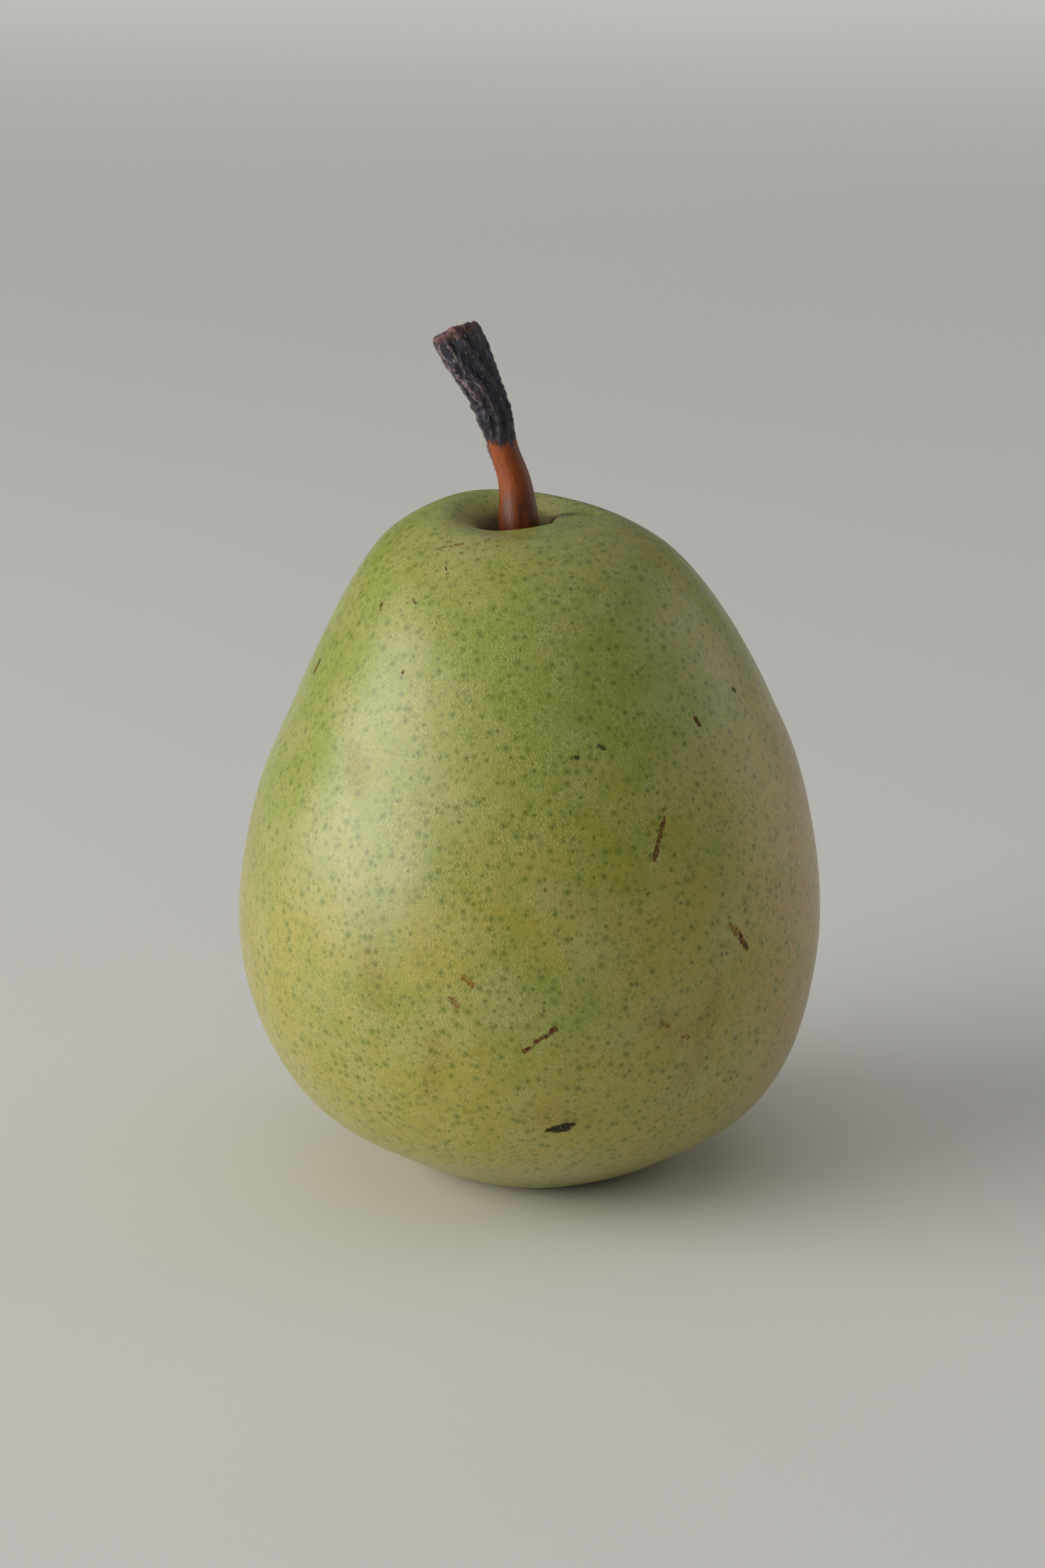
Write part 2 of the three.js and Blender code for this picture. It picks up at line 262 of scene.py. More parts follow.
# Stage: the lights over the floor around the pear, each with its direction from the pear and size
LONG_X, LONG_Y = (2.6, 1.2), (1.2, 2.6)
FLOOR_LIGHTS = (
    ("back", (0, 1, 0), LONG_X), ("front", (0, -1, 0), LONG_X),
    ("left", (-1, 0, 0), LONG_Y), ("right", (1, 0, 0), LONG_Y),
)
FLOOR_LIGHT_DISTANCE = 2.1
FLOOR_LIGHT_HEIGHT = 1.4
FLOOR_LIGHT_SPREAD = math.radians(120)

# Picture: its size, and where the pear's middle lies in it
PICTURE_WIDTH = 1568
PICTURE_HEIGHT = 2352
MIDDLE_PIXEL = (797, 1262)
FOCUS_PIXELS = 6000
SENSOR_HEIGHT = 36


def tint(red, green, blue):
    """A colour in screen steps of 0 to 255, as linear light."""
    def light(step):
        share = step / 255
        return share / 12.92 if share <= 0.04045 else ((share + 0.055) / 1.055) ** 2.4
    return light(red), light(green), light(blue)


# Colours that go with the ones in the settings
# A painted lilac sheen on the black bark
PAINTED_BARK_SHEEN = tint(44, 41, 62)
CALYX_DUST = tint(150, 126, 96)
PALE_WOOL = tint(168, 150, 118)


# Settings that a user would change

def colour_setting(name, description, *steps):
    """A colour that a user would change, in screen steps of 0 to 255."""
    return FloatVectorProperty(
        name=name, description=description, default=tint(*steps), size=3, subtype="COLOR")


def length_setting(name, description, default):
    """A length that a user would change, in metres."""
    return FloatProperty(name=name, description=description, default=default, unit="LENGTH")


def count_setting(name, description, default, least):
    """A count that a user would change."""
    return IntProperty(name=name, description=description, default=default, min=least)


def power_setting(name, description, default):
    """The power of a light that a user would change, in watts."""
    return FloatProperty(name=name, description=description, default=default, min=0, unit="POWER")


class PearFruitSettings(bpy.types.PropertyGroup):
    """Sizes and colours of the fruit."""

    sides: count_setting("Sides", "Faces round the fruit", 320, 64)
    rings: count_setting("Rings", "Rings of faces from the base to the cavity", 246, 60)
    dip: length_setting("Dips", "How deep the skin's soft dips are", 0.00022)
    lenticels: length_setting("Lenticel Spacing", "How far apart the skin's pores stand", 0.0015)
    cells: length_setting("Skin Cells", "Width of the cells in the skin's grain", 0.00036)
    green: colour_setting("Green", "Skin on the shoulder", 134, 147, 30)
    yellow: colour_setting("Yellow", "Skin on the belly", 164, 153, 40)
    tan: colour_setting("Tan", "Paler, duller patches", 168, 164, 94)
    pale: colour_setting("Grain", "Pale grain of the skin", 202, 196, 122)
    halo: colour_setting("Halo", "Skin round a lenticel", 106, 122, 6)
    pore: colour_setting("Pore", "Middle of a lenticel", 86, 82, 10)
    blush: colour_setting("Blush", "Warm blush on the sides", 182, 122, 52)
    russet: colour_setting("Russet", "Corky skin and rubbed marks", 126, 86, 30)
    scratch: colour_setting("Scratch", "Healed scratches", 94, 40, 14)
    # Spot is also the colour of the painted shade in the stem cavity and the crease
    spot: colour_setting("Spot", "Dark spots and scabs", 40, 26, 20)


class PearStemSettings(bpy.types.PropertyGroup):
    """Sizes and colours of the stem."""

    sides: count_setting("Sides", "Faces round the stem", 150, 40)
    steps: count_setting("Steps", "Rings of faces along the stem", 300, 60)
    relief: length_setting("Bark Relief", "Depth of the fine wrinkles in the bark", 0.00024)
    crusts: count_setting("Crusts", "Pale flakes on the bark", 70, 0)
    fibres: count_setting("Fibres", "Loose fibres on the stem's edge", 90, 0)
    wood: colour_setting("Wood", "Smooth lower stem", 158, 74, 10)
    # Dark Wood also colours the painted shade on the stem's right side
    dark_wood: colour_setting("Dark Wood", "Streaks in the lower stem", 78, 30, 10)
    bark: colour_setting("Bark", "Black upper stem", 15, 15, 22)
    crust: colour_setting("Crust", "Flakes on the bark's ridges", 158, 134, 136)
    rim: colour_setting("Rim", "Torn edge of the upper end", 128, 72, 52)


class PearCalyxSettings(bpy.types.PropertyGroup):
    """Sizes and colours of the dried calyx."""

    sepal_length: length_setting("Sepal Length", "From the cup to the tip", 0.0042)
    sepal_width: length_setting("Sepal Width", "At the cup", 0.0027)
    stamens: count_setting("Stamens", "Dried stamens in the cup", 18, 0)
    hairs: count_setting("Hairs", "Woolly hairs on each sepal", 46, 0)
    brown: colour_setting("Brown", "Dried sepals", 78, 56, 38)
    dark: colour_setting("Dark", "Hollows and tips", 34, 23, 17)


class PearStageSettings(bpy.types.PropertyGroup):
    """The floor, the lights and the camera."""

    elevation: FloatProperty(
        name="Camera Elevation", description="How far the camera looks down",
        default=math.radians(17), subtype="ANGLE")
    distance: length_setting("Camera Distance", "From the pear's middle", 0.52)
    height: length_setting("Middle Height", "Height that the camera is placed by", 0.043)
    key: power_setting("Key Light", "Power of the left light", 5.3)
    fill: power_setting("Fill Light", "Power of the right light", 0.42)
    around: power_setting("Floor Lights", "Power of each light over the floor around", 9.0)
    top: power_setting("Top Light", "Power of the light above", 6.5)
    ambient: FloatProperty(
        name="Ambient", description="Strength of the even light", default=0.13, min=0)
    floor: colour_setting("Floor", "Plain pale floor", 235, 233, 228)


# Curves and steps that the shapes follow

def smooth_step(value, low, high):
    """A soft step from 0 at low to 1 at high."""
    share = np.clip((value - low) / (high - low), 0, 1)
    return share * share * (3 - 2 * share)


def bell(distance, width):
    """The bell curve that soft ridges and hollows follow."""
    return np.exp(-(distance / width) ** 2)


def curve_at(points, place, reflect=False):
    """Places on the smooth curve through evenly counted points; place runs from 0 to 1."""
    points = np.asarray(points, float)
    first, last = points[0], points[-1]
    if reflect:
        first, last = 2 * points[0] - points[1], 2 * points[-1] - points[-2]
    padded = np.vstack([first, points, last])
    spot = np.clip(np.asarray(place, float), 0, 1) * (len(points) - 1)
    index = np.minimum(spot.astype(int), len(points) - 2)
    share = (spot - index)[..., None]
    before, start, end, after = (padded[index + step] for step in range(4))
    slope_in, slope_out = (end - before) / 2, (after - start) / 2
    cubic = 2 * start - 2 * end + slope_in + slope_out
    square = 3 * end - 3 * start - 2 * slope_in - slope_out
    return ((cubic * share + square) * share + slope_in) * share + start


def noise_at(points, size, seed):
    """Soft noise of about -1 to 1 with features of a size, at each of the points."""
    shift = Vector((seed, 2 * seed, -seed))
    return np.array([noise.noise(Vector(point) / size + shift) for point in points])


# Meshes and pieces

def mesh_object(name, points, faces, material, node=None):
    """A smooth mesh of points in millimetres, riding on the pear in place of its solid."""
    mesh = bpy.data.meshes.new(name)
    mesh.from_pydata((np.asarray(points) * MM).tolist(), [], faces)
    mesh.validate()
    mesh.shade_smooth()
    mesh.materials.append(material)
    piece = bpy.data.objects.new(name, mesh)
    bpy.context.scene.collection.objects.link(piece)
    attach(piece, "root")
    if node:
        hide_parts(node)
    return piece


def keep_inside(points, node):
    """Holds points in millimetres inside the box of a node's solid."""
    low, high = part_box(node)
    return np.clip(points, np.array(low) / MM, np.array(high) / MM)


def tube_faces(rings, sides):
    """Faces of a closed tube of rings, with a point at each end as its last two points."""
    faces = []
    for ring in range(rings - 1):
        for side in range(sides):
            here, beside = ring * sides + side, ring * sides + (side + 1) % sides
            faces.append((here, beside, beside + sides, here + sides))
    foot, tip = rings * sides, rings * sides + 1
    last = (rings - 1) * sides
    for side in range(sides):
        faces.append((side, foot, (side + 1) % sides))
        faces.append((last + side, last + (side + 1) % sides, tip))
    return faces


def add_values(piece, name, values):
    """Keeps one number for each point of a mesh, for its finish."""
    layer = piece.data.attributes.new(name, "FLOAT", "POINT")
    layer.data.foreach_set("value", np.asarray(values, dtype=np.float32))


def add_vectors(piece, name, vectors):
    """Keeps one vector for each point of a mesh, for its finish."""
    layer = piece.data.attributes.new(name, "FLOAT_VECTOR", "POINT")
    layer.data.foreach_set("vector", np.asarray(vectors, dtype=np.float32).ravel())


# Shader nodes

class Nodes:
    """Short calls for the nodes of a tree."""

    def __init__(self, tree):
        self.tree = tree

    def add(self, kind, **settings):
        node = self.tree.nodes.new(kind)
        for key, value in settings.items():
            setattr(node, key, value)
        return node

    def put(self, socket, value):
        if isinstance(value, bpy.types.NodeSocket):
            self.tree.links.new(value, socket)
        elif socket.type == "RGBA":
            socket.default_value = (*value, 1)
        else:
            socket.default_value = value

    def position(self, unit=MM):
        """The place on the piece, counted in a unit."""
        return self.vector("SCALE", self.add("ShaderNodeTexCoord").outputs["Object"], 1 / unit)

    def split(self, vector):
        node = self.add("ShaderNodeSeparateXYZ")
        self.put(node.inputs[0], vector)
        return node.outputs

    def math(self, operation, first, second=0.0, clamp=False):
        node = self.add("ShaderNodeMath", operation=operation, use_clamp=clamp)
        self.put(node.inputs[0], first)
        self.put(node.inputs[1], second)
        return node.outputs[0]

    def chain(self, operation, first, *others):
        for other in others:
            first = self.math(operation, first, other)
        return first

    def times(self, *values):
        return self.chain("MULTIPLY", *values)

    def plus(self, *values):
        return self.chain("ADD", *values)

    def most(self, *values):
        """The largest of several values."""
        return self.chain("MAXIMUM", *values)

    def total(self, *parts):
        """The sum of several values, each with its weight."""
        return self.plus(*(self.times(value, weight) for value, weight in parts))

    def layers(self, colour, *coats):
        """A colour under others, each with the share that it covers."""
        for share, coat in coats:
            colour = self.blend(share, colour, coat)
        return colour

    def vector(self, operation, first, second):
        node = self.add("ShaderNodeVectorMath", operation=operation)
        self.put(node.inputs[0], first)
        self.put(node.inputs["Scale" if operation == "SCALE" else 1], second)
        return node.outputs["Value" if operation in ("DISTANCE", "DOT_PRODUCT") else 0]

    def span(self, value, low, high, start=0.0, end=1.0):
        """A soft step of a value, from start at low to end at high."""
        if low > high:
            low, high, start, end = high, low, end, start
        return self.rise(value, low, high, start, end)

    def rise(self, value, low, high, start, end):
        """A soft step whose low lies under its high; each of them may be a node's value."""
        node = self.add("ShaderNodeMapRange", interpolation_type="SMOOTHSTEP")
        for socket, number in zip(node.inputs, (value, low, high, start, end)):
            self.put(socket, number)
        return node.outputs[0]

    def blend(self, share, first, second):
        """From the first colour to the second by a share."""
        node = self.add("ShaderNodeMix", data_type="RGBA")
        self.put(node.inputs[0], share)
        self.put(node.inputs[6], first)
        self.put(node.inputs[7], second)
        return node.outputs[2]

    def noise(self, vector, size, detail=2.0, rough=0.5):
        """Noise of 0 to 1 whose features have a size."""
        node = self.add("ShaderNodeTexNoise")
        self.put(node.inputs["Vector"], vector)
        self.put(node.inputs["Scale"], 1 / size)
        self.put(node.inputs["Detail"], detail)
        self.put(node.inputs["Roughness"], rough)
        return node.outputs["Fac"]

    def cells(self, vector, size, feature="F1"):
        """Scattered cells of a size; gives the node."""
        node = self.add("ShaderNodeTexVoronoi", feature=feature)
        self.put(node.inputs["Vector"], vector)
        self.put(node.inputs["Scale"], 1 / size)
        return node

    def value(self, name):
        """A number that the mesh keeps."""
        return self.add("ShaderNodeAttribute", attribute_name=name).outputs["Fac"]

    def direction(self, name):
        """A vector that the mesh keeps."""
        return self.add("ShaderNodeAttribute", attribute_name=name).outputs["Vector"]

    def wobble(self, vector, size, reach):
        """The place moved about by noise, so that edges run unevenly."""
        node = self.add("ShaderNodeTexNoise")
        self.put(node.inputs["Vector"], vector)
        self.put(node.inputs["Scale"], 1 / size)
        centred = self.vector("SUBTRACT", node.outputs["Color"], (0.5, 0.5, 0.5))
        moved = self.vector("MULTIPLY", centred, (reach, reach, reach))
        return self.vector("ADD", vector, moved)


class Finish(Nodes):
    """A procedural material."""

    def __init__(self, name):
        self.material = bpy.data.materials.new(name)
        self.material.use_nodes = True
        super().__init__(self.material.node_tree)
        self.surface = self.tree.nodes["Principled BSDF"]

    def finish(self, colour, roughness, height=None):
        """Links the colour, the roughness and a height in millimetres to the surface."""
        self.put(self.surface.inputs["Base Color"], colour)
        self.put(self.surface.inputs["Roughness"], roughness)
        if height is not None:
            bump = self.add("ShaderNodeBump")
            self.put(bump.inputs["Strength"], 1.0)
            self.put(bump.inputs["Distance"], MM)
            self.put(bump.inputs["Height"], height)
            self.put(self.surface.inputs["Normal"], bump.outputs[0])
        return self.material


# Fruit

def axis_shift(height):
    """How far the fruit's middle stands off the Z axis at a height."""
    belly = BELLY_SHIFT * smooth_step(height, *BELLY_RISE)
    shoulder = SHOULDER_SHIFT * bell(height - SHOULDER_HEIGHT, SHOULDER_REACH)
    return FOOT_SHIFT + belly + shoulder + CREST_SHIFT * smooth_step(height, *CREST_RISE)


def crest_lift(radius, angle):
    """The tilt and the saddle of the crest, and the filled side of the cavity."""
    tilt = CREST_TILT * np.cos(angle - CREST_TILT_ANGLE)
    saddle = CREST_SADDLE * np.cos(2 * (angle - CREST_SADDLE_ANGLE))
    front = (1 + np.cos(angle - CAVITY_FILL_ANGLE)) / 2
    fill = CAVITY_FILL * front * bell(radius - CAVITY_FILL_RADIUS, CAVITY_FILL_WIDTH)
    return (tilt + saddle) * smooth_step(radius, *CREST_REACH) + fill


def crease_lift(radius, angle):
    """The crease beside the stem and the fold of skin in front of it."""
    forward = radius * np.cos(angle - CREASE_ANGLE)
    across = radius * np.sin(angle - CREASE_ANGLE)
    reach = smooth_step(forward, *CREASE_REACH) * (1 - smooth_step(forward, *CREASE_END))
    valley = -CREASE_DEPTH * bell(across, CREASE_WIDTH)
    return reach * (valley + FOLD_HEIGHT * bell(across + FOLD_OFFSET, CREASE_WIDTH))


def base_lift(radius, angle):
    """The five lobes round the calyx basin, which leave small flat spots between them."""
    lobe = (1 - np.cos(BASE_LOBES * (angle - BASE_LOBE_ANGLE))) / 2
    reach = smooth_step(radius, *BASE_REACH) * (1 - smooth_step(radius, *BASE_END))
    return reach * (BASE_LOBE_LIFT * lobe - BASE_FLAT_SINK)


def grow_fruit(radius, angle, height):
    """Carries places on the turned outline to where the skin has grown, in millimetres."""
    top = smooth_step(height, *CROWN_RISE)
    bottom = 1 - smooth_step(height, *BASE_FADE)
    flank = smooth_step(radius, *FLANK_REACH) * (1 - smooth_step(height, *FLANK_FADE))
    middle = smooth_step(height, *BODY_RISE) * (1 - top)
    body = 1 + BODY_LOBE * middle * (np.sin(2 * angle) + np.sin(3 * angle))
    ribbed = radius * body + FLANK_LOBE * flank * np.cos(BASE_LOBES * (angle - BASE_LOBE_ANGLE))
    socket = np.where(height > CREST_HEIGHT / 2, STEM_X, FOOT_SHIFT)
    share = smooth_step(radius, *AXIS_REACH)
    shift = socket * (1 - share) + axis_shift(height) * share
    lift = top * (crest_lift(radius, angle) + crease_lift(radius, angle))
    lift = lift + bottom * base_lift(radius, angle)
    x, y = shift + ribbed * np.cos(angle), ribbed * np.sin(angle)
    return np.stack([x, y, np.maximum(0, height + lift)], axis=-1)


def skin_place(angle, height):
    """The place on the skin at an angle in degrees and a height on the flank or the crest."""
    flank = curve_at(FRUIT_OUTLINE[FLANK_STATIONS], np.linspace(0, 1, 400))
    radius = np.interp(height, flank[:, 1], flank[:, 0])
    return grow_fruit(radius, np.array(math.radians(angle)), np.array(float(height)))


def fruit_mesh(settings):
    """Points and faces of the whole skin, with soft dips in it."""
    skin = curve_at(FRUIT_OUTLINE, np.linspace(0, 1, settings.rings))
    socket = np.array([(CALYX_SOCKET_RADIUS, CALYX_SOCKET_ROOF)])
    outline = np.vstack([socket, skin, np.array(STEM_HOLE)])
    angle = np.linspace(0, math.tau, settings.sides, endpoint=False)
    radius, angle = np.meshgrid(outline[:, 0], angle, indexing="ij")
    height = np.repeat(outline[:, 1][:, None], settings.sides, axis=1)
    points = grow_fruit(radius, angle, height).reshape(-1, 3)
    middle = np.array([0.0, 0.0, CREST_HEIGHT / 2])
    soft = sum(weight * noise_at(points, size, seed) for weight, size, seed in DIPS)
    outside = smooth_step(radius.ravel(), *DIP_REACH) * smooth_step(points[:, 2], *DIP_RISE)
    inward = middle - points
    inward /= np.linalg.norm(inward, axis=1)[:, None]
    dip = settings.dip / MM * np.clip(0.75 + 0.5 * soft, 0, 2) * outside
    points = points + inward * dip[:, None]
    ends = np.array([(FOOT_SHIFT, 0, CALYX_SOCKET_ROOF), (STEM_X, 0, STEM_HOLE_FLOOR)])
    points = keep_inside(np.vstack([points, ends]), "fruit")
    return points, tube_faces(len(outline), settings.sides)


def stroke_group():
    """A node group that tells how near a place is to a short stroke: 1 on it, 0 past its width."""
    tree = bpy.data.node_groups.new("skin_stroke", "ShaderNodeTree")
    for name in ("Place", "Start", "End"):
        tree.interface.new_socket(name, in_out="INPUT", socket_type="NodeSocketVector")
    tree.interface.new_socket("Half Width", in_out="INPUT", socket_type="NodeSocketFloat")
    tree.interface.new_socket("Share", in_out="OUTPUT", socket_type="NodeSocketFloat")
    nodes = Nodes(tree)
    given = nodes.add("NodeGroupInput").outputs
    run = nodes.vector("SUBTRACT", given["End"], given["Start"])
    reach = nodes.vector("SUBTRACT", given["Place"], given["Start"])
    length, along = nodes.vector("DOT_PRODUCT", run, run), nodes.vector("DOT_PRODUCT", reach, run)
    share = nodes.math("DIVIDE", along, length, clamp=True)
    nearest = nodes.vector("ADD", given["Start"], nodes.vector("SCALE", run, share))
    distance = nodes.vector("DISTANCE", given["Place"], nearest)
    shown = nodes.rise(distance, 0.0, given["Half Width"], 1.0, 0.0)
    nodes.put(nodes.add("NodeGroupOutput").inputs["Share"], shown)
    return tree


def mark_shares(finish, place):
    """For each kind of mark, how strongly it shows at a place."""
    group = stroke_group()
    shares = {}
    for kind, half_width, stations in MARKS:
        spots = [skin_place(*station) for station in stations]
        for start, end in zip(spots, spots[1:]):
            node = finish.add("ShaderNodeGroup", node_tree=group)
            finish.put(node.inputs["Place"], place)
            finish.put(node.inputs["Start"], tuple(start))
            finish.put(node.inputs["End"], tuple(end))
            finish.put(node.inputs["Half Width"], half_width * 1.5)
            share = node.outputs[0]
            shares[kind] = finish.most(shares[kind], share) if kind in shares else share
    return {kind: share if kind == "stain" else finish.span(share, 0.25, 0.6)
            for kind, share in shares.items()}


def ground_colour(skin, place, settings):
    """Greener on the shoulder, yellower on the belly and the right, with dull and warm patches."""
    x, _, z = skin.split(place)
    broad, patches = skin.noise(place, 20, 2), skin.noise(place, 6, 4, 0.6)
    share = skin.plus(
        skin.span(z, 8, 70, 0.0, 0.85), skin.span(broad, 0.3, 0.7, -0.3, 0.3),
        skin.span(patches, 0.35, 0.65, -0.22, 0.22), skin.span(x, 4, 34, 0.0, -0.4))
    dull = skin.span(skin.noise(place, 9, 3), 0.42, 0.68, 0.0, 0.6)
    right = skin.times(skin.span(x, 24, 37), skin.span(z, 84, 60))
    warm = skin.most(right, skin.span(x, -33, -39, 0.0, 0.5))
    warm = skin.times(warm, skin.span(patches, 0.3, 0.65, 0.3, 0.8))
    return skin.layers(
        settings.yellow, (skin.span(share, 0.0, 1.0), settings.green), (dull, settings.tan),
        (warm, settings.blush))


def skin_grain(skin, place, settings):
    """How strongly the pale grain shows: a fine broken net of specks between the skin's cells."""
    size = settings.cells / MM
    net = skin.cells(skin.wobble(place, size, size), size, "DISTANCE_TO_EDGE").outputs["Distance"]
    specks = skin.span(skin.noise(place, 0.8 * size, 2, 0.6), 0.42, 0.64)
    net = skin.plus(skin.times(specks, 0.7), skin.span(net, 0.4, 0.0, 0.0, 0.3))
    worn = skin.span(skin.noise(place, 4, 3), 0.3, 0.7, 0.25, 0.6)
    return skin.times(net, worn)


def lenticels(skin, place, spacing, reach, core):
    """Halo and pore shares of pores that stand a spacing apart, with soft uneven edges.

    A pore is a point near the skin, and its distance is read along the skin, so each shows whole.
    """
    moved = skin.wobble(place, 0.6 * reach, 0.55 * reach)
    scattered = skin.cells(moved, spacing)
    out = skin.add("ShaderNodeTexCoord").outputs["Normal"]
    gap = skin.vector("SUBTRACT", moved, scattered.outputs["Position"])
    depth = skin.vector("DOT_PRODUCT", gap, out)
    near = skin.vector("DISTANCE", gap, skin.vector("SCALE", out, depth))
    shown = skin.span(skin.math("ABSOLUTE", depth), 0.42 * spacing, 0.32 * spacing)
    draw = skin.split(scattered.outputs["Color"])
    halo_reach = skin.span(draw[0], 0.0, 1.0, 0.6 * reach, 1.1 * reach)
    pore_reach = skin.span(draw[1], 0.0, 1.0, 0.55 * core, 1.3 * core)
    halo = skin.span(skin.math("DIVIDE", near, halo_reach), 1.0, 0.0)
    pore = skin.span(skin.math("DIVIDE", near, pore_reach), 1.3, 0.2)
    halo = skin.times(halo, shown, skin.span(draw[2], 0.0, 0.8, 0.3, 1.0))
    return halo, skin.times(pore, shown, skin.span(draw[2], 0.2, 0.9, 0.15, 1.0))


def corky_share(skin, place):
    """Russet by the stem, in the crease and the calyx basin; painted shade in the stem cavity and
    crease.
    """
    uneven = skin.wobble(skin.wobble(place, 2.6, 2.4), 0.8, 0.8)
    z = skin.split(uneven)[2]
    flat = skin.vector("MULTIPLY", uneven, (1, 1, 0))
    from_stem = skin.vector("DISTANCE", flat, (STEM_X - 0.3, 1.0, 0))
    from_calyx = skin.vector("DISTANCE", flat, (FOOT_SHIFT, 0, 0))
    high = skin.span(z, 76, 80)
    cavity = skin.span(from_stem, 7.0, 3.6, 0.0, 0.6)
    towards = (math.cos(CREASE_ANGLE), math.sin(CREASE_ANGLE), 0)
    beside = (-towards[1], towards[0], 0)
    from_foot = skin.vector("SUBTRACT", flat, (STEM_X, 0, 0))
    forward = skin.vector("DOT_PRODUCT", from_foot, towards)
    across = skin.vector("DOT_PRODUCT", from_foot, beside)
    across = skin.math("ABSOLUTE", skin.plus(across, CREASE_EDGE))
    crease = skin.times(
        skin.span(across, 1.7, 0.3), skin.span(forward, 11, 5, 0.0, 0.95), skin.span(forward, 0, 3))
    basin = skin.times(skin.span(from_calyx, 8.5, 3.0), skin.span(z, 9, 7, 0.0, 0.8))
    crown = skin.times(skin.most(cavity, crease), high)
    # Painted shade: darker down the cavity wall towards the stem, and along the crease
    shade = skin.most(skin.span(from_stem, 6.4, 3.2, 0.0, 0.9), skin.times(crease, 0.95))
    return skin.most(crown, basin), skin.times(shade, high)


def skin_finish(settings):
    """Waxy green skin with grain, lenticels, russet and old marks."""
    skin = Finish("pear_skin")
    place = skin.position()
    ground = ground_colour(skin, place, settings)
    grain = skin_grain(skin, place, settings)

    # Lenticels: large ones with a dark pore, and small faint ones between them
    spacing = settings.lenticels / MM
    halo, pore = lenticels(skin, place, spacing, HALO_REACH, PORE_REACH)
    faint, dot = lenticels(skin, place, SMALL_SPACING * spacing, SMALL_HALO_REACH, SMALL_PORE_REACH)
    green = skin.most(skin.times(halo, 0.85), skin.times(faint, 0.6))
    # Painted shade: the large pores show darker towards the right, the side in shade
    shaded = skin.span(skin.split(place)[0], -14, 16, 0.35, 0.85)
    dots = skin.most(skin.times(pore, shaded), skin.times(dot, 0.3))

    # Russet and marks, with the painted shade in the stem cavity and the crease
    marks = mark_shares(skin, skin.wobble(skin.wobble(place, 1.8, 0.95), 0.4, 0.4))
    worn = skin.noise(place, 0.45, 3, 0.6)
    stain, russet, scratch, scab, spot = (
        skin.times(marks[kind], skin.span(worn, *wear)) for kind, wear in MARK_WEAR)
    sheltered, shade = corky_share(skin, place)
    corky, dark = skin.most(sheltered, russet, stain), skin.most(spot, scab)
    colour = skin.layers(
        ground, (grain, settings.pale), (green, settings.halo), (dots, settings.pore),
        (corky, settings.russet), (shade, settings.spot), (scratch, settings.scratch),
        (dark, settings.spot))

    # Wax sheen, rougher where the skin is corky
    rough = skin.most(corky, shade, scratch, dark)
    sheen = skin.span(skin.noise(place, 2.4, 3), 0.3, 0.7, 0.4, 0.5)
    roughness = skin.plus(sheen, skin.times(rough, 0.28))
    height = skin.total(
        (grain, 0.13), (pore, 0.02), (skin.noise(place, 1.1, 3), 0.06),
        (scratch, -0.08), (scab, 0.16))
    for socket, value in SKIN_SURFACE:
        skin.surface.inputs[socket].default_value = value
    skin.put(skin.surface.inputs["Coat Weight"], skin.span(rough, 0.0, 0.8, 1.0, 0.1))
    return skin.finish(colour, roughness, height)


# Stem

def stem_ring(place):
    """The middle, the heading and the two sideways directions of the stem at places along it."""
    step = 1e-4
    middle = curve_at(STEM_PATH, place, reflect=True)
    heading = curve_at(STEM_PATH, np.minimum(place + step, 1), reflect=True)
    heading -= curve_at(STEM_PATH, np.maximum(place - step, 0), reflect=True)
    heading /= np.linalg.norm(heading, axis=-1)[..., None]
    sideways = np.array([1.0, 0, 0]) - heading * heading[..., :1]
    sideways /= np.linalg.norm(sideways, axis=-1)[..., None]
    return middle, heading, sideways, np.cross(heading, sideways)


def bark_flutes(place, angle):
    """The flutes of the bark, which wander round the stem, from about -1.6 to 1.6."""
    twist = angle + FLUTE_TWIST * np.sin(FLUTE_TWIST_RATE * place)
    swelling = SWELLING * np.cos(SWELLINGS * twist + SWELLING_RATE * place)
    return np.cos(STEM_FLUTES * twist) + swelling


def stem_radius(place, angle):
    """Radius of the stem: smooth wood below, fluted bark with a scar above."""
    bark = smooth_step(place, BARK_START, BARK_FULL)
    flutes = bark_flutes(place, angle)
    wood = WOOD_RIDGE * np.cos(WOOD_RIDGES * angle)
    turned = np.arctan2(np.sin(angle - SCAR_ANGLE), np.cos(angle - SCAR_ANGLE))
    scar = SCAR_HEIGHT * bell(place - SCAR_PLACE, SCAR_LENGTH) * bell(turned, SCAR_WIDTH)
    plain = curve_at(np.array(STEM_RADII)[:, None], place)[..., 0]
    return plain + bark * FLUTE_DEPTH * flutes + (1 - bark) * wood + scar


def grain_at(place, angle, share=1.0):
    """Places stretched along the stem, so that noise read there runs in long streaks."""
    around = GRAIN_RADIUS * share
    along = place * GRAIN_LENGTH + 0 * angle
    return np.stack([np.cos(angle) * around, np.sin(angle) * around, along], axis=-1)


def bark_relief(place, angle):
    """Fine wrinkles and cracks that run along the bark, from about -1 to 1."""
    grain = grain_at(place, angle).reshape(-1, 3)
    wrinkles = 1 - 2 * np.abs(noise_at(grain, WRINKLE_SIZE, 1.3))
    knots = noise_at(grain * np.array([1, 1, 4.5]), KNOT_SIZE, 5.1)
    return (0.65 * wrinkles + 0.75 * knots).reshape(np.shape(place))


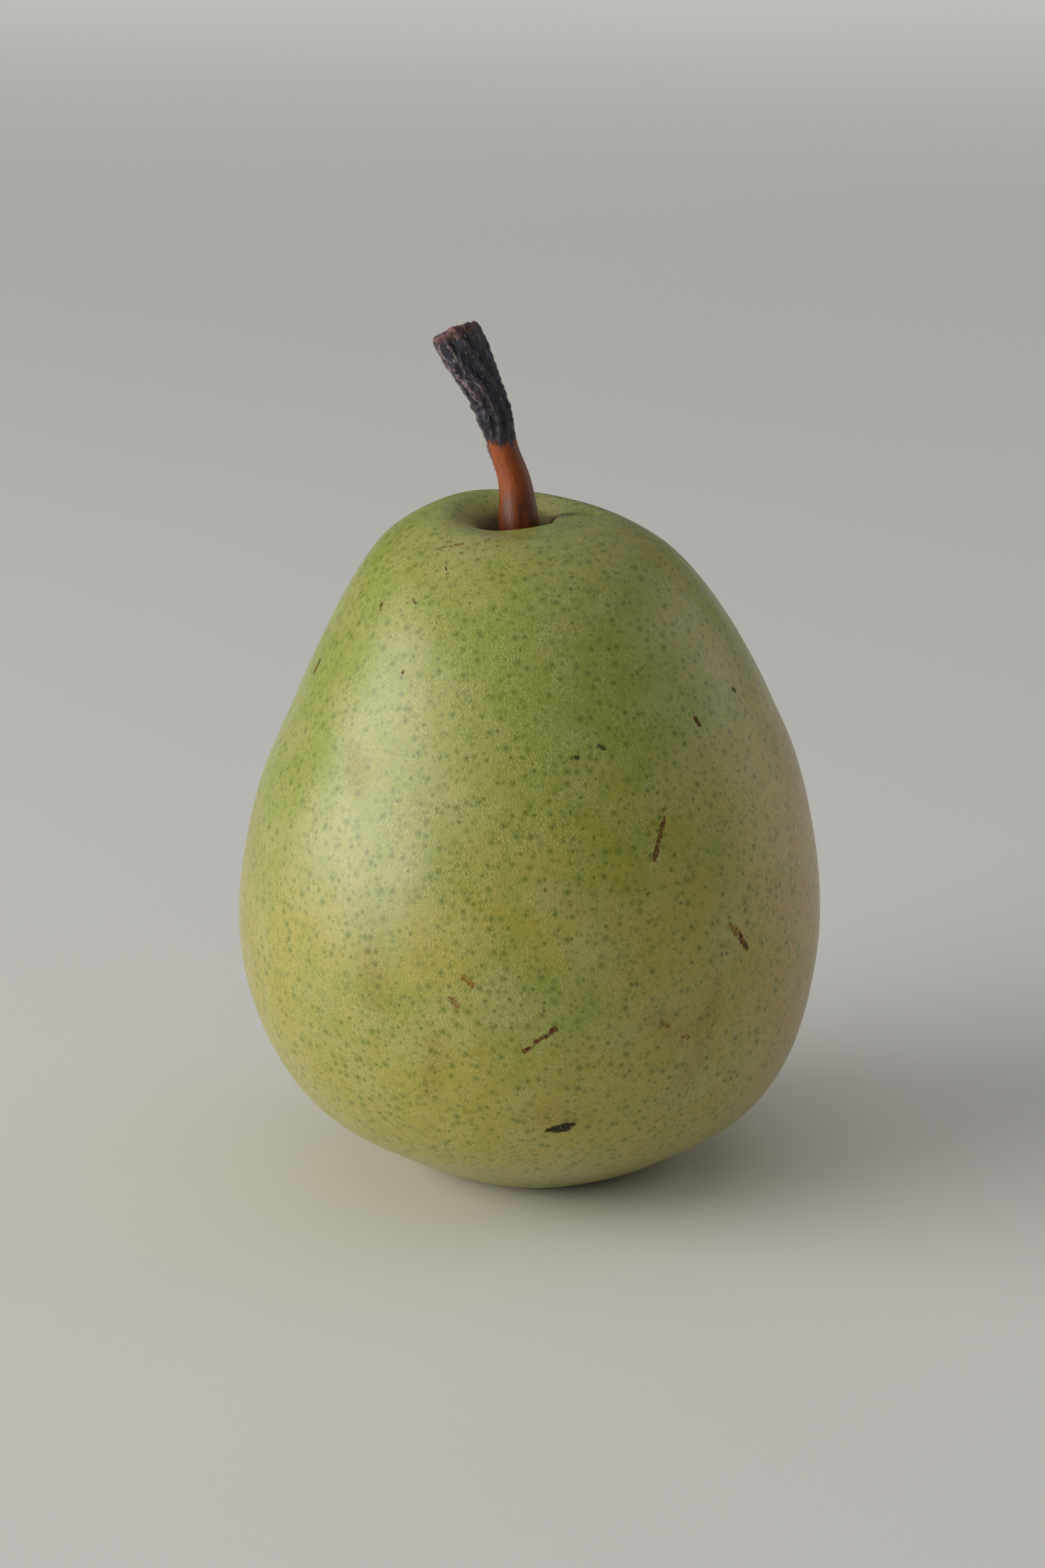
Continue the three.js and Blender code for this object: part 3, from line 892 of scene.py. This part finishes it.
def stem_surface(place, angle, share, relief):
    """Places on the stem; share is 1 on its side and less on its end face."""
    middle, heading, sideways, forwards = stem_ring(place)
    bark = smooth_step(place, BARK_START - 0.03, BARK_FULL)
    worn = 1 - 0.5 * smooth_step(place, 0.88, 1)
    radius = share * (stem_radius(place, angle) + relief * worn * bark * bark_relief(place, angle))
    slant = STEM_TIP_SLANT * radius / STEM_RADII[-1] * np.cos(angle - STEM_TIP_SLANT_ANGLE)
    along = (slant * smooth_step(place, STEM_TIP_START, 1))[..., None]
    across = sideways * (radius * np.cos(angle))[..., None]
    across = across + forwards * (radius * np.sin(angle))[..., None]
    return middle + across + heading * along


def stem_mesh(settings):
    """Points, faces, and the place, angle and share of each point of the stem."""
    steps = STEM_SIDE_END * np.linspace(0, 1, settings.steps)
    side = np.stack([np.ones(settings.steps), steps], axis=1)
    outline = np.vstack([np.array([STEM_FOOT]), side, np.array(STEM_TIP)])
    turn = np.linspace(0, math.tau, settings.sides, endpoint=False)
    share, angle = np.meshgrid(outline[:, 0], turn, indexing="ij")
    place = np.repeat(outline[:, 1][:, None], settings.sides, axis=1)
    points = stem_surface(place, angle, share, settings.relief / MM)
    worn = np.abs(noise_at(points.reshape(-1, 3), TIP_WEAR_SIZE, 9.2)).reshape(place.shape)
    points[..., 2] -= TIP_WEAR * worn * smooth_step(place, 0.95, 1)
    ends = np.array([STEM_PATH[0], points[-1].mean(axis=0)])
    points = keep_inside(np.vstack([points.reshape(-1, 3), ends]), "stem")
    return points, tube_faces(len(outline), settings.sides), place, angle, share


def stem_finish(settings):
    """Orange-brown wood into black bark with pale ridges, a red-brown rim, and painted shade, sheen
    and highlight.
    """
    stem = Finish("pear_stem")
    grain, place = stem.direction("grain"), stem.position()
    along, ridge = stem.value("place"), stem.value("ridge")
    across = stem.split(grain)

    # Smooth wood, darker at its foot and in fine streaks, with painted shade on its right side
    streaks = stem.noise(grain, 0.5, 4, 0.6)
    right = stem.span(across[0], 0.2, 1.8, 0.0, 0.55)
    shaded = stem.most(stem.span(streaks, 0.36, 0.74, 0.0, 0.6), right)
    uneven = stem.span(stem.noise(grain, 0.9, 3), 0.3, 0.7, 0.3, 0.9)
    foot = stem.times(stem.span(along, 0.36, 0.24), uneven)
    wood = stem.layers(settings.wood, (shaded, settings.dark_wood), (foot, settings.dark_wood))

    # Black bark, which comes lowest at the front right and has a ragged edge
    tongue = stem.total((across[0], 0.5), (across[1], -0.87))
    ragged = stem.total((along, 1.0), (tongue, 0.014), (stem.noise(grain, 0.7, 4, 0.6), 0.11))
    bark_share = stem.span(ragged, *BARK_EDGE)
    specks = stem.noise(stem.vector("MULTIPLY", grain, (1, 1, 2.6)), 0.26, 4, 0.7)
    # Painted sheen: lilac blotches over the black bark
    painted_sheen_blotches = stem.span(stem.noise(grain, 0.3, 3), 0.35, 0.7)
    # Pale crusts on the ridges, most on the upper stem; their rise towards the left, where light
    # falls, is a painted highlight
    grown = stem.times(
        stem.span(ridge, 0.1, 1.6), stem.span(specks, 0.43, 0.6),
        stem.span(along, 0.6, 0.85, 0.4, 1.0), stem.span(across[0], -1.8, 1.2, 1.0, 0.2))
    rim = stem.times(stem.span(along, 0.955, 0.99), stem.span(specks, 0.36, 0.58), 0.75)
    bark = stem.layers(
        settings.bark, (painted_sheen_blotches, PAINTED_BARK_SHEEN), (grown, settings.crust), (rim, settings.rim))

    # Pale scurf over both
    scurf = stem.span(stem.noise(place, 1.2, 2), 0.5, 0.65, 0.0, 0.6)
    scurf = stem.times(stem.span(specks, 0.62, 0.7), scurf)
    colour = stem.layers(wood, (bark_share, bark), (scurf, settings.crust))
    roughness = stem.span(streaks, 0.2, 0.8, 0.28, 0.44)
    fine = stem.plus(0.03, stem.times(bark_share, 0.09))
    coarse = stem.plus(0.01, stem.times(bark_share, 0.08))
    height = stem.total((stem.noise(grain, 0.22, 4, 0.7), fine), (specks, coarse))
    return stem.finish(colour, roughness, height)


def crust_finish(settings):
    """Dull pale flakes with brown in them."""
    crust = Finish("pear_stem_crust")
    place = crust.position()
    worn = crust.span(crust.noise(place, 0.5, 3), 0.4, 0.7, 0.0, 0.6)
    colour = crust.blend(worn, settings.crust, settings.dark_wood)
    return crust.finish(colour, crust.span(crust.noise(place, 0.3, 2), 0.3, 0.7, 0.6, 0.85))


def flake(middle, out, reach, thickness, draw, along=None, narrow=0.6):
    """Points and faces of one bent flake of dry bark, which may lie along a direction."""
    out = Vector(out).normalized()
    first = out.orthogonal() if along is None else out.cross(Vector(along)).cross(out)
    first.normalize()
    second = out.cross(first)
    turn = draw.uniform(0, math.tau)
    corners = 7
    rim, ridge = [], []
    for corner in range(corners):
        angle = turn + math.tau * corner / corners
        span = reach * draw.uniform(0.6, 1.15)
        side = first * math.cos(angle) * span + second * math.sin(angle) * span * narrow
        rim.append(Vector(middle) + side - out * thickness)
        ridge.append(Vector(middle) + side * 0.72 + out * thickness * draw.uniform(0.3, 1.0))
    ends = [Vector(middle) - out * thickness * 1.3, Vector(middle) + out * thickness * 1.1]
    return rim + ridge + ends, tube_faces(2, corners)


def join(parts):
    """One set of points and faces from several."""
    points, faces = [], []
    for some_points, some_faces in parts:
        start = len(points)
        points.extend(some_points)
        faces.extend(tuple(corner + start for corner in face) for face in some_faces)
    return np.array([tuple(point) for point in points]), faces


def strand(stations, thickness, sides):
    """A thin tapered thread through stations in millimetres."""
    stations = [Vector(station) for station in stations]
    points = []
    for index, station in enumerate(stations):
        ahead = stations[min(index + 1, len(stations) - 1)] - stations[max(index - 1, 0)]
        first = ahead.orthogonal().normalized()
        second = ahead.normalized().cross(first)
        radius = thickness * (1 - 0.75 * index / (len(stations) - 1))
        for side in range(sides):
            angle = math.tau * side / sides
            points.append(station + (first * math.cos(angle) + second * math.sin(angle)) * radius)
    points += [stations[0], stations[-1]]
    return points, tube_faces(len(stations), sides)


def stem_frame_at(place, angle, relief):
    """A place on the stem's side, the direction out of it and the direction along it there."""
    place, angle = np.array([place]), np.array([angle])
    point = stem_surface(place, angle, np.ones(1), relief)[0]
    middle, heading = (part[0] for part in stem_ring(place)[:2])
    return point, point - middle, heading


def stem_crusts(settings):
    """Pale flakes on the bark's ridges, and fibres on the left edge below them."""
    draw = random.Random(SEED)
    relief = settings.relief / MM
    parts = []
    for _ in range(settings.crusts):
        place = BARK_FULL + (STEM_SIDE_END - BARK_FULL) * draw.random() ** 0.6
        angle = draw.gauss(CRUST_ANGLE, CRUST_SCATTER)
        point, out, heading = stem_frame_at(place, angle, relief)
        reach, thickness = draw.uniform(0.12, 0.42), draw.uniform(0.04, 0.09)
        parts.append(flake(point, out, reach, thickness, draw, heading, 0.3))
    for _ in range(settings.fibres):
        place = draw.gauss(BARK_START + 0.01, 0.04)
        point, out, heading = stem_frame_at(place, draw.gauss(FIBRE_ANGLE, 0.25), relief)
        out = Vector(out).normalized()
        lean = Vector(heading) * draw.uniform(-1.6, 1.6)
        lean.y += draw.uniform(-0.9, 0.9)
        reach = draw.uniform(0.14, 0.34)
        stations = [Vector(point) - out * 0.05 + (out + lean * step * 0.3) * reach * step / 3
                    for step in range(4)]
        parts.append(strand(stations, FIBRE_THICKNESS, 5))
    return join(parts)


# Calyx

def spin(out, side, height, angle):
    """A place out from the Z axis and beside that line, turned about the axis by an angle."""
    turn_cos, turn_sin = math.cos(angle), math.sin(angle)
    return out * turn_cos - side * turn_sin, out * turn_sin + side * turn_cos, height


def sepal_height(reach):
    """The height of a sepal's middle at a distance from its start."""
    return SEPAL_HEIGHT - SEPAL_DROOP * reach - SEPAL_CURL * reach ** 2


def sepal(settings, angle, draw):
    """One dried sepal as a closed curled blade with a raised midrib."""
    rows, columns = 15, 11
    length, width = settings.sepal_length / MM, settings.sepal_width / MM
    bend = draw.uniform(-0.12, 0.12)
    upper, lower = [], []
    for row in range(rows):
        run = row / (rows - 1)
        out = SEPAL_START - SEPAL_ROOT + run * (length + SEPAL_ROOT)
        reach = max(0.0, out - SEPAL_START)
        half = width / 2 * (1 - run ** SEPAL_TAPER) * (0.93 + 0.07 * math.cos(9 * run)) + 0.12
        for column in range(columns):
            across = 2 * column / (columns - 1) - 1
            side = half * across + bend * reach ** 2 * 0.3
            drop = sepal_height(reach) + 0.16 * (half * across) ** 2
            rib = 0.12 * math.exp(-(across / 0.16) ** 2) + 0.05 * math.cos(8 * across) * (1 - run)
            crumple = 0.09 * noise.noise(Vector((out * 1.3 + 9 * angle, side * 1.3, 2.0)))
            upper.append((out, side, drop + 0.2 + crumple))
            lower.append((out, side, drop - 0.16 - rib + crumple))
    return [spin(*place, angle) for place in upper + lower], blade_faces(rows, columns)


def blade_faces(rows, columns):
    """Faces of a closed blade of an upper and a lower grid of points."""
    faces, under = [], rows * columns
    for row in range(rows - 1):
        for column in range(columns - 1):
            here = row * columns + column
            faces.append((here, here + columns, here + columns + 1, here + 1))
            lower = (here, here + 1, here + columns + 1, here + columns)
            faces.append(tuple(under + corner for corner in lower))
    edge = list(range(columns))
    edge += [row * columns + columns - 1 for row in range(1, rows)]
    edge += [(rows - 1) * columns + column for column in range(columns - 2, -1, -1)]
    edge += [row * columns for row in range(rows - 2, 0, -1)]
    for here, ahead in zip(edge, edge[1:] + edge[:1]):
        faces.append((here, ahead, under + ahead, under + here))
    return faces


def calyx_cup():
    """The dried cup, turned from its outline and crumpled."""
    sides, rings = 72, 60
    outline = np.array(CALYX_CUP)
    walk = np.concatenate([[0], np.cumsum(np.linalg.norm(np.diff(outline, axis=0), axis=1))])
    spots = np.linspace(0.02, walk[-1] - 0.02, rings)
    radius, height = (np.interp(spots, walk, outline[:, axis]) for axis in (0, 1))
    turn = np.linspace(0, math.tau, sides, endpoint=False)
    angle = np.repeat(turn[None, :], rings, axis=0)
    ribs = 1 + 0.03 * np.cos(10 * angle) * smooth_step(6 - height, 0, 1.5)[:, None]
    x, y = radius[:, None] * ribs * np.cos(angle), radius[:, None] * ribs * np.sin(angle)
    points = np.stack([x, y, np.repeat(height[:, None], sides, axis=1)], axis=-1).reshape(-1, 3)
    ends = [(0, 0, outline[0, 1]), (0, 0, outline[-1, 1])]
    return np.vstack([points, ends]), tube_faces(rings, sides)


def calyx_threads(settings, draw):
    """Dried stamens with their anthers, and the styles in the middle of them."""
    parts = []
    for index in range(settings.stamens):
        angle = math.tau * index / settings.stamens + draw.uniform(-0.1, 0.1)
        base, reach = draw.uniform(0.9, 1.3), draw.uniform(0.1, 0.9)
        length = draw.uniform(1.5, 2.4)
        stations = []
        for step in range(7):
            run = step / 6
            out = base + reach * run ** 2
            swing = angle + 0.35 * math.sin(3 * run + index) * run
            stations.append(spin(out, 0, STAMEN_START - length * run, swing))
        parts.append(strand(stations, STAMEN_THICKNESS, 6))
        parts.append(flake(stations[-1], (0, 0, -1), ANTHER_REACH, STAMEN_THICKNESS, draw))
    for index in range(STYLES):
        angle = math.tau * index / STYLES
        lean = 0.35 + 0.1 * draw.random()
        stations = [spin(0.3 * (1 + lean * step), 0, STYLE_START - 0.42 * step, angle)
                    for step in range(5)]
        parts.append(strand(stations, STYLE_THICKNESS, 6))
    return parts


def calyx_hairs(settings, draw):
    """Short woolly hairs on the sepals."""
    parts = []
    length = settings.sepal_length / MM
    for index in range(SEPALS):
        angle = SEPAL_FIRST_ANGLE + math.tau * index / SEPALS
        for _ in range(settings.hairs):
            out = SEPAL_START + draw.uniform(0, 0.85) * length
            reach = out - SEPAL_START
            half = settings.sepal_width / MM / 2 * (1 - (reach / length) ** SEPAL_TAPER)
            side = draw.uniform(-0.8, 0.8) * half
            high = sepal_height(reach) - 0.12
            swing = Vector((draw.uniform(-0.5, 0.7), draw.uniform(-0.5, 0.5), -1)).normalized()
            stations = []
            for step in range(4):
                spot = Vector((out, side, high)) + swing * 0.16 * step
                spot.y += 0.05 * math.sin(2.2 * step + out * 7)
                stations.append(spin(*spot, angle))
            parts.append(strand(stations, HAIR_THICKNESS, 4))
    return parts


def calyx_finish(settings):
    """Dry, matt brown mottled with darker patches, and pale dust."""
    calyx = Finish("pear_calyx")
    place = calyx.position()
    mottled = calyx.noise(place, 0.9, 4, 0.6)
    colour = calyx.blend(calyx.span(mottled, 0.35, 0.68), settings.dark, settings.brown)
    dust = calyx.span(calyx.noise(place, 0.35, 3, 0.7), 0.6, 0.75)
    colour = calyx.blend(calyx.times(dust, 0.3), colour, CALYX_DUST)
    roughness = calyx.span(mottled, 0.3, 0.7, 0.75, 0.92)
    height = calyx.times(calyx.noise(place, 0.3, 4, 0.7), 0.08)
    return calyx.finish(colour, roughness, height)


def hair_finish(settings):
    """Dull pale wool."""
    hair = Finish("pear_calyx_hair")
    place = hair.position()
    colour = hair.blend(hair.noise(place, 0.5, 2), settings.brown, PALE_WOOL)
    return hair.finish(colour, hair.span(hair.noise(place, 0.2, 2), 0.3, 0.7, 0.75, 0.9))


# Stage

def add_light(name, power, size, place, aim, colour, spread):
    """A large soft light that faces a place and that the camera doesn't see."""
    light = bpy.data.lights.new(name, "AREA")
    light.shape = "RECTANGLE"
    light.size, light.size_y = size
    light.energy = power
    light.color = colour
    light.spread = spread
    lamp = bpy.data.objects.new(name, light)
    lamp.location = place
    lamp.rotation_euler = (Vector(aim) - Vector(place)).to_track_quat("-Z", "Y").to_euler()
    lamp.visible_camera = False
    bpy.context.scene.collection.objects.link(lamp)


def add_camera(settings):
    """The camera at the picture's viewing angle."""
    tilt = settings.elevation
    middle = Vector((0, 0, settings.height))
    back = Vector((0, -math.cos(tilt), math.sin(tilt)))
    up = Vector((0, math.sin(tilt), math.cos(tilt)))
    pixel = settings.distance / FOCUS_PIXELS
    aim = middle + up * (MIDDLE_PIXEL[1] - PICTURE_HEIGHT / 2) * pixel
    aim.x -= (MIDDLE_PIXEL[0] - PICTURE_WIDTH / 2) * pixel
    camera = bpy.data.objects.new("camera", bpy.data.cameras.new("camera"))
    camera.location = middle + back * settings.distance
    camera.rotation_euler = (aim - camera.location).to_track_quat("-Z", "Y").to_euler()
    camera.data.sensor_fit = "VERTICAL"
    camera.data.sensor_height = SENSOR_HEIGHT
    camera.data.lens = FOCUS_PIXELS / PICTURE_HEIGHT * SENSOR_HEIGHT
    camera.data.clip_start = 0.01
    bpy.context.scene.collection.objects.link(camera)
    bpy.context.scene.camera = camera


def floor_finish(colour):
    """Plain pale matt floor."""
    floor = Finish("stage_floor")
    place = floor.position(1.0)
    shade = floor.blend(floor.noise(place, 0.35, 2), colour, tuple(0.96 * part for part in colour))
    return floor.finish(shade, 0.7)


# Operators

class PEAR_OT_stage(bpy.types.Operator):
    """Add the pale floor, the soft lights and the camera"""

    bl_idname = "pear.stage"
    bl_label = "Stage"

    def execute(self, context):
        settings = context.scene.pear_stage
        corners = [(FLOOR_REACH * x, FLOOR_REACH * y, 0)
                   for x, y in ((-1, -1), (1, -1), (1, 1), (-1, 1))]
        mesh = bpy.data.meshes.new("floor")
        mesh.from_pydata(corners, [], [(0, 1, 2, 3)])
        mesh.materials.append(floor_finish(settings.floor))
        floor = bpy.data.objects.new("floor", mesh)
        context.scene.collection.objects.link(floor)
        middle = (0, 0, settings.height)
        for name, power, (size, place, colour) in (
            ("key_light", settings.key, KEY_LIGHT),
            ("fill_light", settings.fill, FILL_LIGHT),
        ):
            add_light(name, power, size, place, middle, colour, SIDE_SPREAD)
        for side, direction, size in FLOOR_LIGHTS:
            name = f"{side}_floor_light"
            below = Vector(direction) * FLOOR_LIGHT_DISTANCE
            place = below + Vector((0, 0, FLOOR_LIGHT_HEIGHT))
            add_light(name, settings.around, size, place, below, WHITE, FLOOR_LIGHT_SPREAD)
        foot = (0, 0, 0)
        add_light("top_light", settings.top, TOP_LIGHT_SIZE, TOP_LIGHT_PLACE, foot, WHITE, math.pi)
        world = bpy.data.worlds.new("studio")
        world.use_nodes = True
        backdrop = world.node_tree.nodes["Background"]
        backdrop.inputs["Color"].default_value = AMBIENT_COLOUR
        backdrop.inputs["Strength"].default_value = settings.ambient
        context.scene.world = world
        add_camera(settings)
        context.scene.view_settings.view_transform = "Standard"
        return {"FINISHED"}


class PEAR_OT_fruit(bpy.types.Operator):
    """Add the fruit with its waxy skin"""

    bl_idname = "pear.fruit"
    bl_label = "Fruit"

    def execute(self, context):
        settings = context.scene.pear_fruit
        points, faces = fruit_mesh(settings)
        mesh_object("fruit_skin", points, faces, skin_finish(settings), "fruit")
        return {"FINISHED"}


class PEAR_OT_stem(bpy.types.Operator):
    """Add the stem, the crusts on its bark and its loose fibres"""

    bl_idname = "pear.stem"
    bl_label = "Stem"

    def execute(self, context):
        settings = context.scene.pear_stem
        points, faces, place, angle, share = stem_mesh(settings)
        piece = mesh_object("stem_wood", points, faces, stem_finish(settings), "stem")
        ends = [(0, 0, 0), (0, 0, GRAIN_LENGTH)]
        add_vectors(piece, "grain", np.vstack([grain_at(place, angle, share).reshape(-1, 3), ends]))
        add_values(piece, "place", np.concatenate([place.ravel(), [0, STEM_SIDE_END]]))
        ridge = bark_relief(place, angle) + bark_flutes(place, angle)
        add_values(piece, "ridge", np.concatenate([ridge.ravel(), [0, 0]]))
        points, faces = stem_crusts(settings)
        points = keep_inside(points, "stem")
        mesh_object("stem_crusts", points, faces, crust_finish(settings))
        return {"FINISHED"}


class PEAR_OT_calyx(bpy.types.Operator):
    """Add the dried calyx in the base"""

    bl_idname = "pear.calyx"
    bl_label = "Calyx"

    def execute(self, context):
        settings = context.scene.pear_calyx
        draw = random.Random(SEED + 1)
        parts = [calyx_cup()]
        for index in range(SEPALS):
            parts.append(sepal(settings, SEPAL_FIRST_ANGLE + math.tau * index / SEPALS, draw))
        parts += calyx_threads(settings, draw)
        middle = np.array([FOOT_SHIFT, 0, 0])
        for name, finish, node, grown in (
            ("calyx_dried", calyx_finish, "calyx", parts),
            ("calyx_wool", hair_finish, None, calyx_hairs(settings, draw)),
        ):
            points, faces = join(grown)
            points = keep_inside(points + middle, "calyx")
            mesh_object(name, points, faces, finish(settings), node)
        return {"FINISHED"}


class PEAR_PT_panel(bpy.types.Panel):
    """Lists the steps that build the pear, with their settings"""

    bl_label = "Pear"
    bl_idname = "PEAR_PT_panel"
    bl_space_type = "VIEW_3D"
    bl_region_type = "UI"
    bl_category = "Pear"

    def draw(self, context):
        for step in STEPS:
            self.layout.operator(step.bl_idname)
        for owner in SETTINGS:
            group = getattr(context.scene, owner)
            column = self.layout.column(align=True)
            for name in group.bl_rna.properties.keys():
                if name not in ("rna_type", "name"):
                    column.prop(group, name)


SETTINGS = {
    "pear_stage": PearStageSettings,
    "pear_fruit": PearFruitSettings,
    "pear_stem": PearStemSettings,
    "pear_calyx": PearCalyxSettings,
}
STEPS = (PEAR_OT_stage, PEAR_OT_fruit, PEAR_OT_stem, PEAR_OT_calyx)


def register():
    for kind in (*SETTINGS.values(), *STEPS, PEAR_PT_panel):
        bpy.utils.register_class(kind)
    for owner, kind in SETTINGS.items():
        setattr(bpy.types.Scene, owner, PointerProperty(type=kind))


def unregister():
    for owner in SETTINGS:
        delattr(bpy.types.Scene, owner)
    for kind in (PEAR_PT_panel, *STEPS, *SETTINGS.values()):
        bpy.utils.unregister_class(kind)


def main():
    """Builds the stage and the pear."""
    register()
    bpy.ops.pear.stage()
    bpy.ops.pear.fruit()
    bpy.ops.pear.stem()
    bpy.ops.pear.calyx()


if __name__ == "__main__":
    main()
